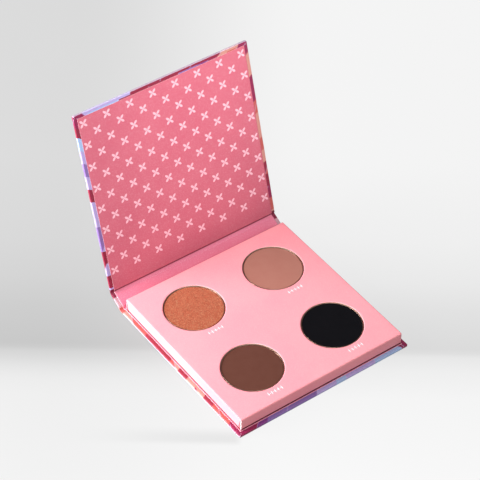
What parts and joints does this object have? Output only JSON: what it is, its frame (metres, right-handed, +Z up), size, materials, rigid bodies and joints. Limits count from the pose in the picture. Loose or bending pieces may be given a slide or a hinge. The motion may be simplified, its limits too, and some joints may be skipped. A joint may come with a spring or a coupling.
{
  "type": "eyeshadow palette",
  "caption": "Square book-style eyeshadow palette: paper-covered case folding at two creases round a card tray with pressed powder pans.",
  "frame": {"origin": "underside of the base, below the middle of the square tray", "axes": "+Z up, +X to the right, the front edge faces -Y and the spine is at +Y; the rest pose is open, with the lid leaning back past upright"},
  "size_m": [0.086, 0.1166, 0.0863],
  "materials": {
    "greyboard": "matt, fibrous",
    "cover_paper": "laminated, pearlescent, printed in lilac and crimson patches",
    "lining_paper": "satin coated, deep pink with a small pale repeat motif",
    "tray_paper": "satin coated pink",
    "adhesive": "translucent, tacky",
    "pan_metal": "champagne lacquered",
    "magnet_plate": "nickel plated",
    "powder_copper": "pressed powder, copper shimmer",
    "powder_rose": "pressed powder, matt rose beige",
    "powder_brown": "pressed powder, matt brown",
    "powder_black": "pressed powder, matt black"
  },
  "bodies": {
    "base": {"base_board": "greyboard", "base_wrap": "cover_paper", "base_liner": "lining_paper", "base_crease_wrap": "cover_paper", "base_crease_liner": "lining_paper", "tray_mounting_sheet": "adhesive", "tray_floor": "greyboard", "tray_core": "greyboard", "tray_deck": "greyboard", "tray_wrap": "tray_paper", "pan_back_left": "pan_metal", "pan_back_right": "pan_metal", "pan_front_left": "pan_metal", "pan_front_right": "pan_metal", "powder_back_left": "powder_copper", "powder_back_right": "powder_rose", "powder_front_left": "powder_brown", "powder_front_right": "powder_black", "pan_glue_dots": "adhesive", "tray_magnets": "magnet_plate"},
    "spine": {"spine_board": "greyboard", "spine_wrap": "cover_paper", "spine_liner": "lining_paper", "lid_crease_wrap": "cover_paper", "lid_crease_liner": "lining_paper"},
    "lid": {"lid_board": "greyboard", "lid_wrap": "cover_paper", "lid_liner": "lining_paper", "lid_magnets": "magnet_plate"}
  },
  "joints": [
    {"name": "spine_hinge", "type": "hinge", "parent": "base", "child": "spine", "pos_m": [0, 0.0423, 0.00012], "axis": [-1, 0, 0], "range_deg": [-63, 27], "deforming": ["base_crease_wrap", "base_crease_liner"]},
    {"name": "lid_hinge", "type": "hinge", "parent": "spine", "child": "lid", "pos_m": [0, 0.04996, 0.00402], "axis": [-1, 0, 0], "range_deg": [-43, 47], "deforming": ["lid_crease_wrap", "lid_crease_liner"]}
  ]
}
